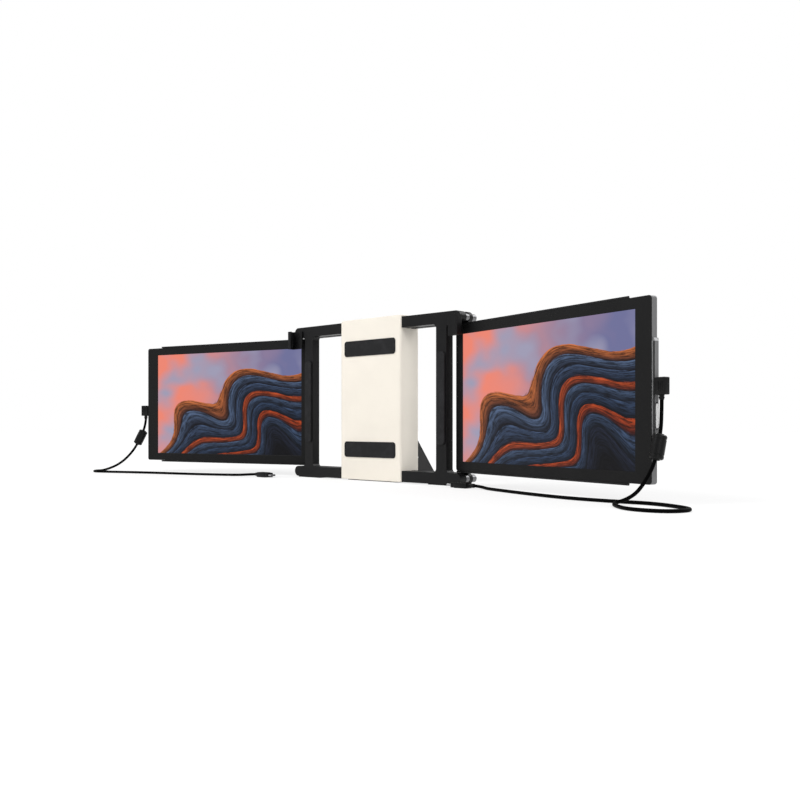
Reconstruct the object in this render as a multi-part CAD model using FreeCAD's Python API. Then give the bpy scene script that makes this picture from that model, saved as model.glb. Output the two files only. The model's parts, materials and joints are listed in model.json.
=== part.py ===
import FreeCAD, Part
import math
import os

# Laptop screen extender: two thin monitors on a bracket that clamps a laptop lid.
# Millimetres, X to the right, Y to the back, Z up. The origin is the middle of the housing's foot.
# Every monitor piece is drawn flat (u outward, v backward from the bezel), then seated on its hinge.

# Housing in the middle
HOUSING_W = 108.7
HOUSING_D = 35.0
HOUSING_TOP = 207.8
HOUSING_WALL = 2.2
HOUSING_BOTTOM_WALL = 1.2
HOUSING_ROUND = 4.0
FOOT_T = 1.2
FOOT_INSET = 9.0
PAD_T = 0.8
LID_PAD_HIGH = 20.0
LID_PAD_LOW_Z = 30.0
LID_PAD_TOP_Z = 160.0
BOSS_R = 4.0
BOSS_X = 44.0
BOSS_LOW_Z = 30.0
BOSS_HIGH_Z = 178.0
CHASSIS_W = 76.0
CHASSIS_T = 1.8
CHASSIS_LOW = 20.0
CHASSIS_HIGH = 188.0

# Arms, made of four layers from front to back
END_X = 147.4
BAR_H = 13.7
FRAME_D = 11.9
RAIL_D = 5.9
BACK_D = 6.2
CAP_D = 6.8
LAYER_FRONT_GAP = 2.2
RAIL_INSET = 2.3
BAR_GAP = 0.6
SLIDE_GAP = 0.3
ARM_TRAVEL = 28.0
UPRIGHT_W = 16.0
UPRIGHT_CLEAR = 1.4
FRAME_FILLET = 5.0
GUIDE_L = 14.0
GUIDE_WALL = 0.9
GUIDE_PLAY = 0.15
STOP_L = 5.7
STOP_STEP_Y = 1.2
STOP_STEP_Z = 0.7
ARM_FOOT_L = 44.0
GRIP_PAD_W = 12.0
GRIP_PAD_H = 110.0

# Claws that hold the lid's upper corners
LID_T = 5.6
CLAW_PLAY = 0.8
CLAW_WALL = 2.2
CLAW_PAD_T = 0.6
CLAW_LIP = 6.5
CLAW_ARM = 20.0
CLAW_LOW = 176.0
CLAW_HIGH = 200.0
CLAW_ROUND = 1.6

# Monitor hinge
PIN_R = 1.6
PIN_PLAY = 0.05
PIN_IN_BAR = 9.0
PIN_IN_TRAY = 22.0
BUSH_WALL = 0.85
KNUCKLE_WALL = 1.2
KNUCKLE_L = 30.0
TOE_IN = 14.75
PIVOT_U = 6.0

# Monitor panel, sized by its display
SCREEN_W = 265.7
SCREEN_H = 149.4
BEZEL_INNER = 12.4
BEZEL_OUTER = 19.4
BEZEL_LOW = 10.9
BEZEL_TOP = 10.7
BEZEL_T = 1.0
PANEL_W = BEZEL_INNER + SCREEN_W + BEZEL_OUTER
PANEL_H = BEZEL_LOW + SCREEN_H + BEZEL_TOP
PANEL_T = 7.7
PANEL_ROUND = 3.0
WINDOW_CHAMFER = 0.5
SHELL_WALL = 1.5
SHELL_BACK = 1.3
CELL_T = 1.2
CELL_EDGE = 2.4
BACKLIGHT_T = 2.4
BACKLIGHT_EDGE = 3.4
BOARD_T = 0.9
BOARD_W = 44.0
BOARD_MARGIN = 2.0
CHIP_T = 0.8
CHIP_SIZE = 13.0
TRAY_T = 1.8
TRAY_LIP = 2.0
TRAY_PLAY = 0.25
TRAY_SHORT = 26.9
TRAY_FRONT = 0.6
TRAY_BEVEL = 7.5
TRAY_L = PANEL_W - TRAY_SHORT

# Control cover on the monitor's outer side, with its sockets and buttons
COVER_H = 94.4
COVER_PROUD = 2.0
COVER_FRONT = 1.5
COVER_BACK = 0.9
COVER_REACH = 24.0
COVER_CHAMFER = 1.2
COVER_END_SLOPE = 3.2
COVER_END_STEP = 1.4
HOLE_PLAY = 0.2
PORT_W = 8.94
PORT_T = 3.2
PORT_WALL = 0.3
PORT_DEPTH = 8.1
PORT_FLOOR = 1.0
TONGUE_W = 6.4
TONGUE_T = 0.7
TONGUE_L = 5.0
LEAD_PORT_Z = {"right": 106.6, "left": 93.4}
ROCKER_OFFSET = -26.8
ROCKER_L = 22.4
ROCKER_W = 2.6
ROCKER_SHIFT = 0.6
ROCKER_PROUD = 0.6
ROCKER_DEEP = 2.2
ROCKER_AXLE_R = 0.7
ROCKER_AXLE_L = 0.7
BUTTON_OFFSET = -44.0
BUTTON_R = 1.9
BUTTON_PROUD = 0.8
BUTTON_DEEP = 3.2
BUTTON_PLAY = 0.2

# Leads
LEAD_R = 1.75
PLUG_U = 12.7
PLUG_V = 7.0
PLUG_H = 15.8
PLUG_ROUND = 1.0
PLUG_SEAT = 0.3
RELIEF_L = 4.5
RELIEF_WIDE = 2.7
RELIEF_NARROW = 2.5
TIP_W = 8.3
TIP_T = 2.4
TIP_L = 6.2
TIP_ROOT = 1.0
FERRITE_R = 6.5
FERRITE_L = 24.0
FERRITE_CHAMFER = 1.6
FERRITE_BORE_R = 2.3
DESK_PLUG_L = 23.0
DESK_PLUG_W = 11.0
DESK_PLUG_H = 6.8
DESK_RELIEF_L = 8.0
ARC_SHARE = 0.45
LEAD_Z = LEAD_R + 0.1

# Screws
SCREW_R = 1.2
SCREW_HEAD_R = 2.2
SCREW_HEAD_T = 1.4
ARM_SCREW_X = (66.0, 98.0, 128.0)
TRAY_SCREW_INSET = 58.0
TRAY_SCREW_Z_INSET = 40.0
TRAY_HEAD_T = 1.0

# Kickstand
KICK_PIN_R = 2.0
KICK_PIN_Z = 82.0
KICK_PIN_OUT = 5.0
KICK_ANGLE = 38.0
KICK_W = 49.4
KICK_T = 3.0
KICK_BARREL_R = 4.2
KICK_TIP_R = 3.0
KICK_TIP_INSET = 2.5
KICK_TIP_GRIP = 2.0
KICK_SIDE_PLAY = 0.3
KICK_WINDOW_W = 26.0
KICK_WINDOW_L = 46.0
KICK_WINDOW_START = 24.0
EAR_T = 2.5
EAR_R = 5.0
PIN_HEAD_R = 3.2
PIN_HEAD_T = 1.5

# How close two places are taken as one
NEAR = 0.01

# Places that follow from the sizes
LID_Y = -HOUSING_D / 2
BACK_Y = HOUSING_D / 2
FRONT_Y = LID_Y + PAD_T
FRAME_Y = LID_Y + LAYER_FRONT_GAP
RAIL_Y = FRAME_Y + FRAME_D
BACK_BAR_Y = RAIL_Y + RAIL_D
CAP_Y = BACK_BAR_Y + BACK_D
CAP_END_Y = CAP_Y + CAP_D
BAR_LOW = FOOT_T
TRAY_LOW = BAR_LOW + BAR_H + BAR_GAP
TRAY_H = PANEL_H + 2 * (TRAY_LIP + TRAY_PLAY)
TRAY_HIGH = TRAY_LOW + TRAY_H
TOP_BAR_LOW = TRAY_HIGH + BAR_GAP
BAR_Z = (BAR_LOW, TOP_BAR_LOW)
ARM_START = HOUSING_W / 2 + SLIDE_GAP
PANEL_LOW = TRAY_LOW + TRAY_LIP + TRAY_PLAY
PANEL_HIGH = PANEL_LOW + PANEL_H
BUSH_R = PIN_R + PIN_PLAY + BUSH_WALL
KNUCKLE_R = BUSH_R + KNUCKLE_WALL
PIVOT_V = PANEL_T + KNUCKLE_R
PIVOT_X = END_X - BAR_H / 2
PIVOT_Y = BACK_BAR_Y + BACK_D / 2
SWING_R = math.hypot(PIVOT_U, PIVOT_V)
UPRIGHT_END = PIVOT_X - SWING_R - UPRIGHT_CLEAR
UPRIGHT_X = UPRIGHT_END - UPRIGHT_W
GUIDE_END = HOUSING_W / 2 - HOUSING_WALL
GUIDE_START = GUIDE_END - GUIDE_L
STOP_END = GUIDE_START - ARM_TRAVEL
WINDOW_LOW = PANEL_LOW + BEZEL_LOW
CELL_V = BEZEL_T
BACKLIGHT_V = CELL_V + CELL_T
BOARD_V = PANEL_T - SHELL_BACK - BOARD_T
PANEL_MIDDLE = PANEL_LOW + PANEL_H / 2
COVER_LOW = PANEL_MIDDLE - COVER_H / 2
COVER_HIGH = PANEL_MIDDLE + COVER_H / 2
BUTTON_V = (COVER_FRONT + PANEL_T) / 2
ROCKER_V = BUTTON_V + ROCKER_SHIFT
PORT_V = BOARD_V - PORT_T / 2
COVER_FACE = PANEL_W + COVER_PROUD
CLAW_SIDE = END_X + PAD_T
CLAW_LIP_Y = LID_Y - LID_T - CLAW_PLAY
KICK_PIN_Y = BACK_Y + KICK_PIN_OUT
KICK_L = (KICK_PIN_Z - KICK_TIP_R) / math.cos(math.radians(KICK_ANGLE))
SIDES = {"right": 1, "left": -1}

# Each lead's route on the table, after its first point at the monitor's plug
LEAD_ROUTES = {
    "right": (
        (429.0, -78.4, 84.0), (429.0, -80.0, 66.0), (426.7, -86.2, 37.0),
        (415.0, -92.0, 13.5), (404.0, -94.0, 5.0), (397.5, -106.5, LEAD_Z),
        (408.5, -126.0, LEAD_Z), (434.0, -149.0, LEAD_Z), (468.0, -146.0, LEAD_Z),
        (478.0, -117.0, LEAD_Z), (452.0, -97.0, LEAD_Z), (420.0, -85.0, LEAD_Z),
        (386.0, -90.0, LEAD_Z), (335.0, -87.0, LEAD_Z), (282.0, -71.0, LEAD_Z),
        (232.0, -51.5, LEAD_Z), (206.0, -41.0, LEAD_Z), (193.0, -34.5, 2.9),
    ),
    "left": (
        (-429.5, -78.6, 72.0), (-432.4, -81.7, 58.5), (-440.5, -91.0, 33.0),
        (-452.0, -107.0, 12.0), (-463.0, -128.0, LEAD_Z), (-460.0, -146.0, LEAD_Z),
        (-445.0, -156.0, LEAD_Z), (-425.0, -150.0, LEAD_Z), (-388.0, -133.0, LEAD_Z),
        (-338.0, -114.0, LEAD_Z), (-284.0, -99.0, LEAD_Z), (-232.0, -79.0, LEAD_Z),
        (-207.0, -64.5, LEAD_Z), (-193.0, -58.0, 2.9),
    ),
}
LEAD_END = {"right": (182.0, -33.0), "left": (-182.0, -56.0)}
FERRITE_SHARE = {"right": 0.48, "left": 0.25}

VEC = FreeCAD.Vector
X_AXIS, Y_AXIS, Z_AXIS = VEC(1, 0, 0), VEC(0, 1, 0), VEC(0, 0, 1)


def box(x0, x1, y0, y1, z0, z1):
    return Part.makeBox(x1 - x0, y1 - y0, z1 - z0, VEC(x0, y0, z0))


def rod(radius, start, axis, length):
    return Part.makeCylinder(radius, length, VEC(*start), axis)


def edges_along(shape, axis):
    """The straight edges that run along an axis."""
    found = []
    for edge in shape.Edges:
        if isinstance(edge.Curve, Part.Line) and abs(edge.Curve.Direction.dot(axis)) > 0.999:
            found.append(edge)
    return found


def prism(points, along):
    """The outline through the points, pushed along a direction."""
    corners = [VEC(*point) for point in points]
    outline = Part.makePolygon(corners + corners[:1])
    return Part.Face(outline).extrude(along)


def rounded(shape, radius, axis):
    return shape.makeFillet(radius, edges_along(shape, axis))


def round_ended_bar(x0, x1, y0, y1, z0, z1):
    """A flat bar along X whose far end is a half circle seen from the front."""
    radius = (z1 - z0) / 2
    lines = [
        Part.LineSegment(VEC(x1 - radius, y0, z0), VEC(x0, y0, z0)),
        Part.LineSegment(VEC(x0, y0, z0), VEC(x0, y0, z1)),
        Part.LineSegment(VEC(x0, y0, z1), VEC(x1 - radius, y0, z1)),
        Part.Arc(VEC(x1 - radius, y0, z1), VEC(x1, y0, z0 + radius), VEC(x1 - radius, y0, z0)),
    ]
    outline = Part.Wire([line.toShape() for line in lines])
    return Part.Face(outline).extrude(VEC(0, y1 - y0, 0))


def stadium(u0, u1, v, z, length, width):
    """A block along X with round ends, as long as length along Z and as thick as width along Y."""
    straight = length / 2 - width / 2
    parts = [box(u0, u1, v - width / 2, v + width / 2, z - straight, z + straight)]
    for end in (z - straight, z + straight):
        parts.append(rod(width / 2, (u0, v, end), X_AXIS, u1 - u0))
    return parts[0].fuse(parts[1:]).removeSplitter()


def join(shapes):
    return shapes[0].fuse(shapes[1:]).removeSplitter()


def save(name, shapes):
    """One file for each named piece, with each of its solids checked."""
    if not isinstance(shapes, (list, tuple)):
        shapes = [shapes]
    solids = [solid for shape in shapes for solid in shape.Solids]
    for solid in solids:
        if not solid.isValid() or solid.Volume <= 0:
            raise ValueError(name + " holds a solid that is not sound")
    Part.makeCompound(solids).exportStep(os.path.join("parts", name + ".step"))


def to_side(shape, side):
    """The right-hand piece as it is, or its mirror image for the left."""
    return shape if SIDES[side] > 0 else shape.mirror(VEC(0, 0, 0), X_AXIS)


def seat(shape, side):
    """A monitor piece turned to its toe-in about the hinge, on its own side."""
    placed = shape.copy()
    placed.translate(VEC(-PIVOT_U, -PIVOT_V, 0))
    placed.rotate(VEC(0, 0, 0), Z_AXIS, -TOE_IN)
    placed.translate(VEC(PIVOT_X, PIVOT_Y, 0))
    return to_side(placed, side)


def seat_point(u, v, z, side):
    """A monitor point in the frame of the whole object."""
    turn = math.radians(-TOE_IN)
    du, dv = u - PIVOT_U, v - PIVOT_V
    x = PIVOT_X + du * math.cos(turn) - dv * math.sin(turn)
    y = PIVOT_Y + du * math.sin(turn) + dv * math.cos(turn)
    return VEC(SIDES[side] * x, y, z)


def rail_span(bar_low):
    return bar_low + RAIL_INSET, bar_low + BAR_H - RAIL_INSET


def housing_bosses(y0, y1):
    bosses = []
    for x in (-BOSS_X, BOSS_X):
        for z in (BOSS_LOW_Z, BOSS_HIGH_Z):
            bosses.append(rod(BOSS_R, (x, y0, z), Y_AXIS, y1 - y0))
    return bosses


def housing_screws():
    """Four screws from the back, their heads sunk in the rear shell."""
    screws = []
    for x in (-BOSS_X, BOSS_X):
        for z in (BOSS_LOW_Z, BOSS_HIGH_Z):
            head = rod(SCREW_HEAD_R, (x, BACK_Y - SCREW_HEAD_T, z), Y_AXIS, SCREW_HEAD_T)
            shank = rod(SCREW_R, (x, -BOSS_R, z), Y_AXIS, BACK_Y + BOSS_R - SCREW_HEAD_T)
            screws.append(head.fuse(shank).removeSplitter())
    return screws


def rail_slots():
    """The openings in the housing's sides that the rails pass through."""
    slots = []
    for bar_low in BAR_Z:
        low, high = rail_span(bar_low)
        slots.append(box(-HOUSING_W, HOUSING_W, RAIL_Y - SLIDE_GAP, BACK_BAR_Y + SLIDE_GAP,
                         low - SLIDE_GAP, high + SLIDE_GAP))
    return slots


def housing_shell(front):
    """Half of the housing, open towards the other half, with its screw bosses."""
    half = HOUSING_W / 2
    block = rounded(box(-half, half, FRONT_Y, BACK_Y, FOOT_T, HOUSING_TOP), HOUSING_ROUND, Z_AXIS)
    top_edges = []
    for edge in block.Edges:
        if edge.BoundBox.ZMin > HOUSING_TOP - NEAR:
            top_edges.append(edge)
    block = block.makeFillet(HOUSING_WALL / 2, top_edges)
    hollow = box(-half + HOUSING_WALL, half - HOUSING_WALL, FRONT_Y + HOUSING_WALL,
                 BACK_Y - HOUSING_WALL, FOOT_T + HOUSING_BOTTOM_WALL, HOUSING_TOP - HOUSING_WALL)
    shell = block.cut([hollow] + rail_slots())
    if front:
        keep = box(-HOUSING_W, HOUSING_W, -HOUSING_D, 0, 0, 2 * HOUSING_TOP)
        bosses = housing_bosses(FRONT_Y + HOUSING_WALL, 0)
    else:
        keep = box(-HOUSING_W, HOUSING_W, 0, HOUSING_D, 0, 2 * HOUSING_TOP)
        bosses = housing_bosses(0, BACK_Y - HOUSING_WALL)
    shell = join([shell.common(keep)] + bosses)
    return shell.cut(housing_screws() + ears(HOLE_PLAY))


def ear_places():
    inner = KICK_W / 2 + KICK_SIDE_PLAY
    return ((inner, inner + EAR_T), (-inner - EAR_T, -inner))


def ears(extra):
    """The two ears that carry the kickstand's pin, or their slots when extra is more than 0."""
    shapes = []
    for x0, x1 in ear_places():
        tab = box(x0 - extra, x1 + extra, BACK_Y - HOUSING_WALL, KICK_PIN_Y,
                  KICK_PIN_Z - EAR_R - extra, KICK_PIN_Z + EAR_R + extra)
        end = rod(EAR_R + extra, (x0 - extra, KICK_PIN_Y, KICK_PIN_Z), X_AXIS, x1 - x0 + 2 * extra)
        shapes.append(join([tab, end]))
    return shapes


def chassis():
    """A steel plate inside the rear shell, with the kickstand's ears through the wall."""
    y1 = BACK_Y - HOUSING_WALL
    half = CHASSIS_W / 2
    plate = rounded(box(-half, half, y1 - CHASSIS_T, y1, CHASSIS_LOW, CHASSIS_HIGH), BOSS_R, Y_AXIS)
    return join([plate] + ears(0)).cut(kickstand_pin())


def kickstand_pin():
    reach = KICK_W / 2 + KICK_SIDE_PLAY + EAR_T
    shaft = rod(KICK_PIN_R, (-reach, KICK_PIN_Y, KICK_PIN_Z), X_AXIS, 2 * reach)
    heads = [
        rod(PIN_HEAD_R, (reach, KICK_PIN_Y, KICK_PIN_Z), X_AXIS, PIN_HEAD_T),
        rod(PIN_HEAD_R, (-reach - PIN_HEAD_T, KICK_PIN_Y, KICK_PIN_Z), X_AXIS, PIN_HEAD_T),
    ]
    return join([shaft] + heads)


def lean(shape):
    """A kickstand piece drawn hanging straight down from its pin, swung out to its rest."""
    leaned = shape.copy()
    leaned.translate(VEC(0, KICK_PIN_Y, KICK_PIN_Z))
    leaned.rotate(VEC(0, KICK_PIN_Y, KICK_PIN_Z), X_AXIS, KICK_ANGLE)
    return leaned


def kickstand_plate():
    half = KICK_W / 2
    leg = box(-half, half, -KICK_T / 2, KICK_T / 2, -KICK_L - KICK_TIP_GRIP / 2, 0)
    start = -KICK_WINDOW_START
    window = box(-KICK_WINDOW_W / 2, KICK_WINDOW_W / 2, -KICK_T, KICK_T, start - KICK_WINDOW_L, start)
    window = rounded(window, FRAME_FILLET, Y_AXIS)
    barrel = rod(KICK_BARREL_R, (-half, 0, 0), X_AXIS, KICK_W)
    bore = rod(KICK_PIN_R + PIN_PLAY, (-half, 0, 0), X_AXIS, KICK_W)
    return join([leg.cut(window), barrel]).cut(bore)


def kickstand_tip():
    half = KICK_W / 2 - KICK_TIP_INSET
    bar = rod(KICK_TIP_R, (-half, 0, -KICK_L), X_AXIS, 2 * half)
    return bar.cut(kickstand_plate())


def housing_pads():
    half = HOUSING_W / 2 - FOOT_INSET
    pads = []
    for z in (LID_PAD_LOW_Z, LID_PAD_TOP_Z):
        pads.append(rounded(box(-half, half, LID_Y, FRONT_Y, z, z + LID_PAD_HIGH), BOSS_R, Y_AXIS))
    return pads


def housing_foot():
    half = HOUSING_W / 2 - FOOT_INSET
    deep = HOUSING_D / 2 - FOOT_INSET / 2
    return rounded(box(-half, half, -deep, deep, 0, FOOT_T), HOUSING_ROUND, Z_AXIS)


def rail_guides():
    """Four low-friction blocks that the rails run in, held between the shells."""
    blocks = []
    y0, y1 = FRONT_Y + HOUSING_WALL, BACK_Y - HOUSING_WALL
    for bar_low in BAR_Z:
        low, high = rail_span(bar_low)
        low, high = low - GUIDE_PLAY, high + GUIDE_PLAY
        hole = box(-GUIDE_END, GUIDE_END, RAIL_Y - GUIDE_PLAY, BACK_BAR_Y + GUIDE_PLAY, low, high)
        for x0, x1 in ((GUIDE_START, GUIDE_END), (-GUIDE_END, -GUIDE_START)):
            block = box(x0, x1, y0, y1, low - GUIDE_WALL, high + GUIDE_WALL)
            blocks.append(block.cut(hole))
    return blocks


def arm_screws():
    """Screws from the back that clamp the four layers of each bar."""
    screws = []
    for bar_low in BAR_Z:
        z = bar_low + BAR_H / 2
        for x in ARM_SCREW_X:
            head = rod(SCREW_HEAD_R, (x, CAP_END_Y - SCREW_HEAD_T, z), Y_AXIS, SCREW_HEAD_T)
            start = FRAME_Y + FRAME_D / 2
            shank = rod(SCREW_R, (x, start, z), Y_AXIS, CAP_END_Y - SCREW_HEAD_T - start)
            screws.append(head.fuse(shank).removeSplitter())
    return screws


def arm_frame():
    """The front layer: an upper and a lower bar joined by an upright."""
    y0, y1 = FRAME_Y, RAIL_Y
    bars = [round_ended_bar(ARM_START, END_X, y0, y1, low, low + BAR_H) for low in BAR_Z]
    upright = box(UPRIGHT_X, UPRIGHT_END, y0, y1, BAR_LOW + BAR_H / 2, TOP_BAR_LOW + BAR_H / 2)
    frame = join(bars + [upright])
    corners = []
    for edge in edges_along(frame, Y_AXIS):
        if ARM_START + FRAME_FILLET < edge.BoundBox.XMin < PIVOT_X - FRAME_FILLET:
            corners.append(edge)
    return frame.makeFillet(FRAME_FILLET, corners).cut(arm_screws())


def slide_rails():
    """Two rails that run in the housing, each with a stop at its inner end."""
    rails = []
    for bar_low in BAR_Z:
        low, high = rail_span(bar_low)
        rail = round_ended_bar(STOP_END, END_X, RAIL_Y, BACK_BAR_Y, low, high)
        stop = box(STOP_END - STOP_L, STOP_END, RAIL_Y - STOP_STEP_Y, BACK_BAR_Y + STOP_STEP_Y,
                   low - STOP_STEP_Z, high + STOP_STEP_Z)
        rails.append(join([rail, stop]).cut(arm_screws()))
    return rails


def hinge_pins():
    """The upper and lower pins, pressed into the back bars and turning in the tray's bushes."""
    length = PIN_IN_BAR + BAR_GAP + PIN_IN_TRAY
    low = rod(PIN_R, (PIVOT_X, PIVOT_Y, TRAY_LOW - BAR_GAP - PIN_IN_BAR), Z_AXIS, length)
    high = rod(PIN_R, (PIVOT_X, PIVOT_Y, TRAY_HIGH - PIN_IN_TRAY), Z_AXIS, length)
    return [low, high]


def arm_back():
    bars = []
    for low in BAR_Z:
        bar = round_ended_bar(ARM_START, END_X, BACK_BAR_Y, CAP_Y, low, low + BAR_H)
        bars.append(bar.cut(arm_screws() + hinge_pins()))
    return bars


def arm_caps():
    caps = []
    for bar_low in BAR_Z:
        low, high = rail_span(bar_low)
        cap = round_ended_bar(ARM_START, END_X, CAP_Y, CAP_END_Y, low, high)
        caps.append(cap.cut(arm_screws()))
    return caps


def lid_claw():
    """A hook round the lid's side, fixed on the front of the upper bar."""
    outer = CLAW_SIDE + CLAW_WALL
    front = CLAW_LIP_Y - CLAW_WALL
    plate = box(outer - CLAW_ARM, outer, LID_Y, FRAME_Y, CLAW_LOW, CLAW_HIGH)
    side = box(CLAW_SIDE, outer, front, FRAME_Y, CLAW_LOW, CLAW_HIGH)
    lip = box(outer - CLAW_LIP, outer, front, CLAW_LIP_Y, CLAW_LOW, CLAW_HIGH)
    hook = join([plate, side, lip])
    corners = []
    for edge in edges_along(hook, Z_AXIS):
        if edge.BoundBox.XMin > outer - NEAR:
            corners.append(edge)
    return hook.makeFillet(CLAW_ROUND, corners)


def grip_pads():
    """Soft strips that touch the lid: one on the upright, one in the claw."""
    middle = (UPRIGHT_X + UPRIGHT_END) / 2
    centre = (TRAY_LOW + TRAY_HIGH) / 2
    strip = box(middle - GRIP_PAD_W / 2, middle + GRIP_PAD_W / 2, LID_Y, FRAME_Y,
                centre - GRIP_PAD_H / 2, centre + GRIP_PAD_H / 2)
    outer = CLAW_SIDE + CLAW_WALL
    pad = box(outer - CLAW_LIP, CLAW_SIDE, CLAW_LIP_Y, CLAW_LIP_Y + CLAW_PAD_T,
              CLAW_LOW + CLAW_ROUND, CLAW_HIGH - CLAW_ROUND)
    return [rounded(strip, BOSS_R, Y_AXIS), pad]


def arm_foot():
    x1 = END_X - BAR_H / 2
    return rounded(box(x1 - ARM_FOOT_L, x1, FRAME_Y + PAD_T, CAP_Y - PAD_T, 0, FOOT_T), PAD_T, Z_AXIS)


def tray_screws():
    screws = []
    back = PANEL_T + TRAY_T
    for u in (TRAY_SCREW_INSET, TRAY_L - TRAY_SCREW_INSET):
        for z in (PANEL_LOW + TRAY_SCREW_Z_INSET, PANEL_HIGH - TRAY_SCREW_Z_INSET):
            head = rod(SCREW_HEAD_R, (u, back, z), Y_AXIS, TRAY_HEAD_T)
            shank = rod(SCREW_R, (u, PANEL_T - SHELL_BACK, z), Y_AXIS, TRAY_T + SHELL_BACK)
            screws.append(head.fuse(shank).removeSplitter())
    return screws


def knuckle_places():
    return (TRAY_LOW, TRAY_HIGH - KNUCKLE_L)


def hinge_bushes():
    bushes = []
    for z in (TRAY_LOW, TRAY_HIGH - PIN_IN_TRAY):
        sleeve = rod(BUSH_R, (PIVOT_U, PIVOT_V, z), Z_AXIS, PIN_IN_TRAY)
        bore = rod(PIN_R + PIN_PLAY, (PIVOT_U, PIVOT_V, z), Z_AXIS, PIN_IN_TRAY)
        bushes.append(sleeve.cut(bore))
    return bushes


def tray():
    """The carrier behind the panel, with lips over and under it and the hinge knuckles."""
    back = PANEL_T + TRAY_T
    outline = [(0, TRAY_FRONT, TRAY_LOW), (TRAY_L, TRAY_FRONT, TRAY_LOW),
               (TRAY_L - TRAY_BEVEL, back, TRAY_LOW), (0, back, TRAY_LOW)]
    outer = prism(outline, VEC(0, 0, TRAY_H))
    room = box(-TRAY_L, 2 * TRAY_L, 0, PANEL_T, TRAY_LOW + TRAY_LIP, TRAY_HIGH - TRAY_LIP)
    parts = [outer.cut(room)]
    for z in knuckle_places():
        parts.append(rod(KNUCKLE_R, (PIVOT_U, PIVOT_V, z), Z_AXIS, KNUCKLE_L))
    holes = []
    for z in (TRAY_LOW, TRAY_HIGH - PIN_IN_TRAY):
        holes.append(rod(BUSH_R, (PIVOT_U, PIVOT_V, z), Z_AXIS, PIN_IN_TRAY))
    return join(parts).cut(holes + tray_screws())


def panel_block(v0, v1, inset):
    block = box(inset, PANEL_W - inset, v0, v1, PANEL_LOW + inset, PANEL_HIGH - inset)
    return rounded(block, max(PANEL_ROUND - inset, 1), Y_AXIS)


def side_places(side):
    """Heights of the socket, the rocker and the button on the monitor's outer side."""
    sign = SIDES[side]
    lead = LEAD_PORT_Z[side]
    return lead, lead + sign * ROCKER_OFFSET, lead + sign * BUTTON_OFFSET


def side_openings(side):
    """Cutters for every opening in the outer side of the shell and its cover."""
    port_z, rocker_z, button_z = side_places(side)
    u0, u1 = PANEL_W - 2 * SHELL_WALL, COVER_FACE + COVER_PROUD
    play = 2 * HOLE_PLAY
    return [
        stadium(u0, u1, PORT_V, port_z, PORT_W + play, PORT_T + play),
        stadium(u0, u1, ROCKER_V, rocker_z, ROCKER_L + 2 * play, ROCKER_W + play),
        rod(BUTTON_R + BUTTON_PLAY, (u0, BUTTON_V, button_z), X_AXIS, u1 - u0),
        rocker_axle(rocker_z, PIN_PLAY),
    ]


def rocker_axle(z, play):
    reach = ROCKER_W / 2 + ROCKER_AXLE_L + play
    return rod(ROCKER_AXLE_R + play, (PANEL_W, ROCKER_V - reach, z), Y_AXIS, 2 * reach)


def back_shell(side):
    """The panel's rear tub: a back wall and four side walls, open to the bezel."""
    tub = panel_block(BEZEL_T, PANEL_T, 0)
    hollow = panel_block(0, PANEL_T - SHELL_BACK, SHELL_WALL)
    return tub.cut([hollow] + side_openings(side) + tray_screws())


def bezel():
    """The front frame round the picture, its window edge chamfered."""
    plate = panel_block(0, BEZEL_T, 0)
    u1 = BEZEL_INNER + SCREEN_W
    window = box(BEZEL_INNER, u1, -BEZEL_T, 2 * BEZEL_T, WINDOW_LOW, WINDOW_LOW + SCREEN_H)
    frame = plate.cut(window)
    rim = []
    for edge in frame.Edges:
        b = edge.BoundBox
        between_sides = b.XMin > BEZEL_INNER - NEAR and b.XMax < u1 + NEAR
        if b.YMax < NEAR and between_sides and b.ZMin > PANEL_LOW + NEAR and b.ZMax < PANEL_HIGH - NEAR:
            rim.append(edge)
    return frame.makeChamfer(WINDOW_CHAMFER, rim)


def layer_behind_window(edge, v, thickness):
    u1 = BEZEL_INNER + SCREEN_W + edge
    return box(BEZEL_INNER - edge, u1, v, v + thickness, WINDOW_LOW - edge, WINDOW_LOW + SCREEN_H + edge)


def board():
    """The driver board flat on the back wall, with three chips on its front."""
    u1 = PANEL_W - SHELL_WALL - BOARD_MARGIN
    card = box(u1 - BOARD_W, u1, BOARD_V, BOARD_V + BOARD_T, COVER_LOW + BOARD_MARGIN,
               COVER_HIGH - BOARD_MARGIN)
    pieces = [card]
    middle = (COVER_LOW + COVER_HIGH) / 2
    for step in (-1, 0, 1):
        z = middle + step * 2 * CHIP_SIZE - CHIP_SIZE / 2
        u = u1 - BOARD_W + BOARD_MARGIN
        pieces.append(box(u, u + CHIP_SIZE, BOARD_V - CHIP_T, BOARD_V, z, z + CHIP_SIZE))
    return join(pieces)


def socket(side):
    """The metal socket with its tongue, open outward."""
    z = LEAD_PORT_Z[side]
    u1 = COVER_FACE - HOLE_PLAY
    u0 = u1 - PORT_DEPTH
    floor = u0 + PORT_FLOOR
    body = stadium(u0, u1, PORT_V, z, PORT_W, PORT_T)
    inside = stadium(floor, u1 + PORT_DEPTH, PORT_V, z, PORT_W - 2 * PORT_WALL, PORT_T - 2 * PORT_WALL)
    half = TONGUE_W / 2
    tongue = box(floor - PORT_FLOOR / 2, floor + TONGUE_L, PORT_V - TONGUE_T / 2,
                 PORT_V + TONGUE_T / 2, z - half, z + half)
    return join([body.cut(inside), tongue])


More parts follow.
